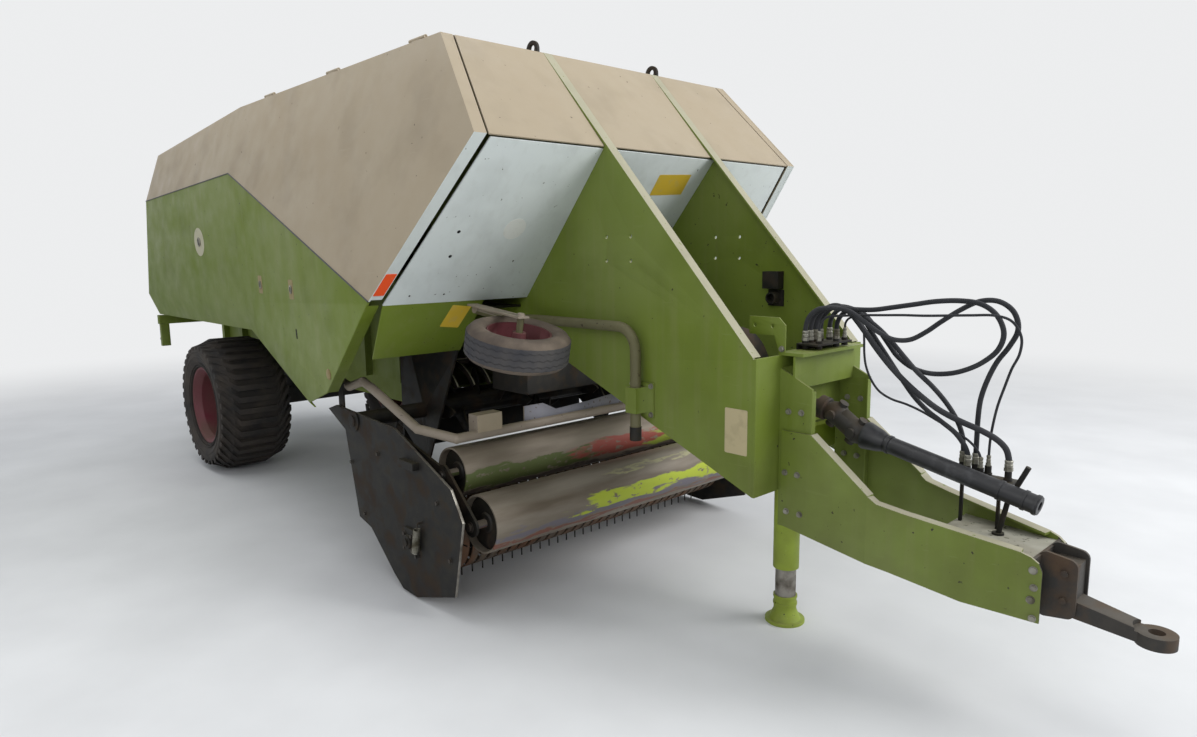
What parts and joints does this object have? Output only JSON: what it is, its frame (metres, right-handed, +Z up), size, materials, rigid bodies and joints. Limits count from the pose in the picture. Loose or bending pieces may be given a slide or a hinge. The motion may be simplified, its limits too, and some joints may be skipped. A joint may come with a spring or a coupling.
{
  "type": "square baler",
  "caption": "Towed square baler with hinged side panels, floor pickup, bale channel, folding chute, jack and drawbar with a ring eye.",
  "frame": {"origin": "on the floor, below the middle of the overall length, on the centre plane", "axes": "+X forward to the drawbar's eye, +Y to the machine's left, +Z up"},
  "size_m": [7.841, 2.7102, 2.796],
  "materials": {
    "shell_paint": "satin beige-grey paint",
    "white_paint": "satin off-white paint",
    "green_paint": "satin yellow-green paint, dusty",
    "dark_steel": "dark weathered paint",
    "worn_steel": "worn bare steel",
    "rim_paint": "matt dark red paint",
    "tyre": "dusty rubber",
    "black_cover": "matt black plastic"
  },
  "bodies": {
    "chassis": {"roof": "shell_paint", "hood_upper": "shell_paint", "hood_lower": "white_paint", "front_skirt": "green_paint", "frame_plate_right": "green_paint", "frame_plate_left": "green_paint", "chamber_sides": "green_paint", "chamber_floor": "green_paint", "chamber_top": "green_paint", "axle": "dark_steel", "rear_portal": "green_paint", "rear_bar": "green_paint", "drawbar_head": "green_paint", "drawbar": "green_paint", "hitch_eye": "dark_steel", "jack_tube": "green_paint", "gearbox": "dark_steel", "drive_shaft": "dark_steel", "pto_tube": "black_cover", "pto_holder": "dark_steel", "feeder_housing": "dark_steel", "gauge_arms": "shell_paint", "twine_boxes": "green_paint", "needle_yoke": "dark_steel", "knotters": "dark_steel", "lifting_eyes": "dark_steel", "hose_rack": "dark_steel", "hose_far": "black_cover", "hose_back": "black_cover", "hose_middle": "black_cover", "hose_low": "black_cover", "cable_thick": "black_cover", "cable_far": "black_cover", "cable_low": "black_cover"},
    "right_wheel": {"tyre_right": "tyre", "rim_right": "rim_paint"},
    "left_wheel": {"tyre_left": "tyre", "rim_left": "rim_paint"},
    "right_side_panel": {"panel_upper_right": "shell_paint", "panel_lower_right": "green_paint"},
    "left_side_panel": {"panel_upper_left": "shell_paint", "panel_lower_left": "green_paint"},
    "rear_lid": {"rear_hood": "shell_paint"},
    "chute": {"bale_chute": "green_paint"},
    "jack_slide": {"jack_leg": "worn_steel"},
    "flywheel_rotor": {"flywheel": "dark_steel"},
    "feeder": {"feeder_rotor": "dark_steel"},
    "pickup": {"pickup_frame": "dark_steel", "pickup_bands": "worn_steel", "crop_guard": "shell_paint"},
    "reel": {"pickup_reel": "dark_steel"},
    "crop_press": {"roller_arms": "dark_steel"},
    "upper_press_roller": {"roller_upper": "worn_steel"},
    "lower_press_roller": {"roller_lower": "worn_steel"},
    "right_gauge_wheel": {"gauge_wheel_right": "tyre"},
    "left_gauge_wheel": {"gauge_wheel_left": "tyre"}
  },
  "joints": [
    {"name": "right_wheel_spin", "type": "hinge", "parent": "chassis", "child": "right_wheel", "pos_m": [-2.4405, -0.82, 0.535], "axis": [0, 1, 0], "continuous": true},
    {"name": "left_wheel_spin", "type": "hinge", "parent": "chassis", "child": "left_wheel", "pos_m": [-2.4405, 0.82, 0.535], "axis": [0, 1, 0], "continuous": true},
    {"name": "right_panel_open", "type": "hinge", "parent": "chassis", "child": "right_side_panel", "pos_m": [0.0295, -1, 2.742], "axis": [-1, 0, 0], "range_deg": [0, 75]},
    {"name": "left_panel_open", "type": "hinge", "parent": "chassis", "child": "left_side_panel", "pos_m": [0.0295, 1, 2.742], "axis": [1, 0, 0], "range_deg": [0, 75]},
    {"name": "rear_lid_open", "type": "hinge", "parent": "chassis", "child": "rear_lid", "pos_m": [-3.3165, 0, 2.586], "axis": [0, 1, 0], "range_deg": [0, 95]},
    {"name": "chute_fold", "type": "hinge", "parent": "chassis", "child": "chute", "pos_m": [-3.8505, 0, 0.88], "axis": [0, -1, 0], "range_deg": [0, 95]},
    {"name": "jack_extend", "type": "slide", "parent": "chassis", "child": "jack_slide", "axis": [0, 0, 1], "range_m": [0, 0.125]},
    {"name": "flywheel_spin", "type": "hinge", "parent": "chassis", "child": "flywheel_rotor", "pos_m": [2.0445, 0, 1.06], "axis": [1, 0, 0], "continuous": true},
    {"name": "feeder_spin", "type": "hinge", "parent": "chassis", "child": "feeder", "pos_m": [0.3795, 0, 0.84], "axis": [0, 1, 0], "continuous": true},
    {"name": "pickup_lift", "type": "hinge", "parent": "chassis", "child": "pickup", "pos_m": [0.3795, 0, 0.84], "axis": [0, -1, 0], "range_deg": [0, 10]},
    {"name": "reel_spin", "type": "hinge", "parent": "pickup", "child": "reel", "pos_m": [0.9295, 0, 0.3], "axis": [0, 1, 0], "continuous": true},
    {"name": "press_lift", "type": "hinge", "parent": "pickup", "child": "crop_press", "pos_m": [0.7595, 0, 0.77], "axis": [0, -1, 0], "range_deg": [0, 5]},
    {"name": "upper_roller_spin", "type": "hinge", "parent": "crop_press", "child": "upper_press_roller", "pos_m": [1.1195, 0, 0.667], "axis": [0, 1, 0], "continuous": true},
    {"name": "lower_roller_spin", "type": "hinge", "parent": "crop_press", "child": "lower_press_roller", "pos_m": [1.3485, 0, 0.458], "axis": [0, 1, 0], "continuous": true},
    {"name": "right_gauge_wheel_spin", "type": "hinge", "parent": "chassis", "child": "right_gauge_wheel", "pos_m": [1.5095, -0.87, 1.325], "axis": [0.225, 0, 0.9744], "continuous": true},
    {"name": "left_gauge_wheel_spin", "type": "hinge", "parent": "chassis", "child": "left_gauge_wheel", "pos_m": [1.5095, 0.87, 1.325], "axis": [0.225, 0, 0.9744], "continuous": true}
  ]
}
